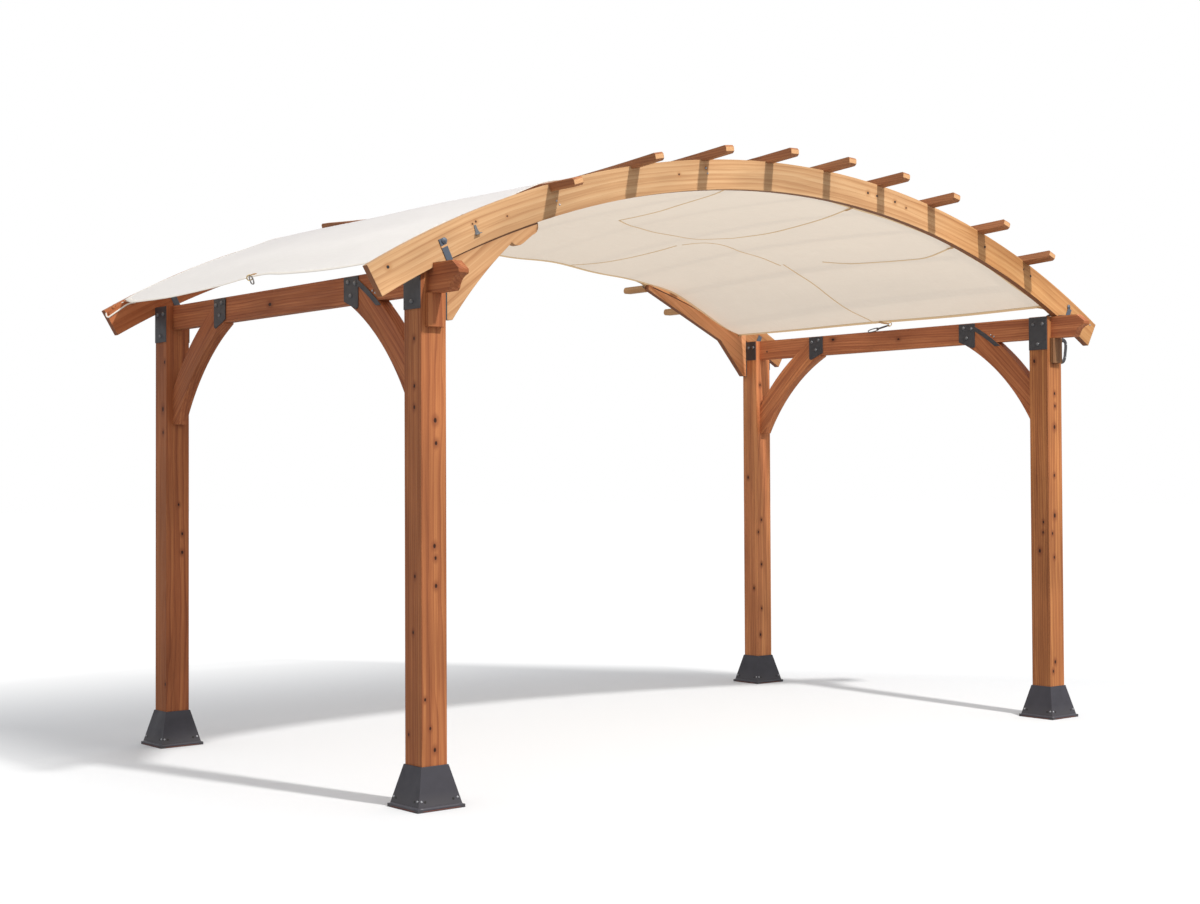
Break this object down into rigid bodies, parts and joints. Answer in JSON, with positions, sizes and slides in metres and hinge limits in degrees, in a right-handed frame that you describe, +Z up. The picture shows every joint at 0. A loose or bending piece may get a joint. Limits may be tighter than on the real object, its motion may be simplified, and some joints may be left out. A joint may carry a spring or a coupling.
{
  "type": "arched gazebo",
  "caption": "Open-frame arched timber garden gazebo with square posts, side beams, bowed arches, cross purlins, curved braces, dark steel plates and a hanging cream canopy.",
  "frame": {"origin": "on the floor, in the middle between the four posts and of the whole outline", "axes": "+X to the right along the arches, +Y from the open front to the back, +Z up"},
  "size_m": [4.846, 2.912, 2.9198],
  "materials": {
    "stained_timber": "red-brown stained softwood, matt, fine straight grain",
    "light_timber": "golden-tan stained softwood, matt, open grain",
    "dark_steel": "charcoal powder coat, fine satin",
    "canopy_fabric": "cream woven polyester with tan hems and seams"
  },
  "bodies": {
    "root": {"post_front_left": "stained_timber", "post_back_left": "stained_timber", "post_back_right": "stained_timber", "post_front_right": "stained_timber", "base_cover_front_left": "dark_steel", "base_cover_back_left": "dark_steel", "base_cover_back_right": "dark_steel", "base_cover_front_right": "dark_steel", "beam_left": "stained_timber", "beam_right": "stained_timber", "arch_front": "light_timber", "arch_back": "light_timber", "purlin_2": "light_timber", "purlin_3": "light_timber", "purlin_4": "light_timber", "purlin_5": "light_timber", "purlin_6": "light_timber", "purlin_7": "light_timber", "purlin_8": "light_timber", "purlin_9": "light_timber", "purlin_10": "light_timber", "knee_brace_front_left": "stained_timber", "knee_brace_back_left": "stained_timber", "knee_brace_back_right": "stained_timber", "knee_brace_front_right": "stained_timber", "arch_brace_front_left": "light_timber", "arch_brace_back_right": "light_timber", "corner_plates_front_left": "dark_steel", "corner_plates_back_left": "dark_steel", "corner_plates_back_right": "dark_steel", "corner_plates_front_right": "dark_steel", "knee_plates_front_left": "dark_steel", "knee_plates_back_left": "dark_steel", "knee_plates_back_right": "dark_steel", "knee_plates_front_right": "dark_steel", "arch_tie_front_left": "dark_steel", "arch_tie_back_left": "dark_steel", "arch_tie_back_right": "dark_steel", "arch_tie_front_right": "dark_steel", "tie_pegs": "light_timber", "nose_cleat_left": "stained_timber", "nose_cleat_right": "stained_timber", "empty_purlin_bracket": "dark_steel", "side_bracket_front_right": "dark_steel", "canopy": "canopy_fabric"}
  },
  "joints": []
}
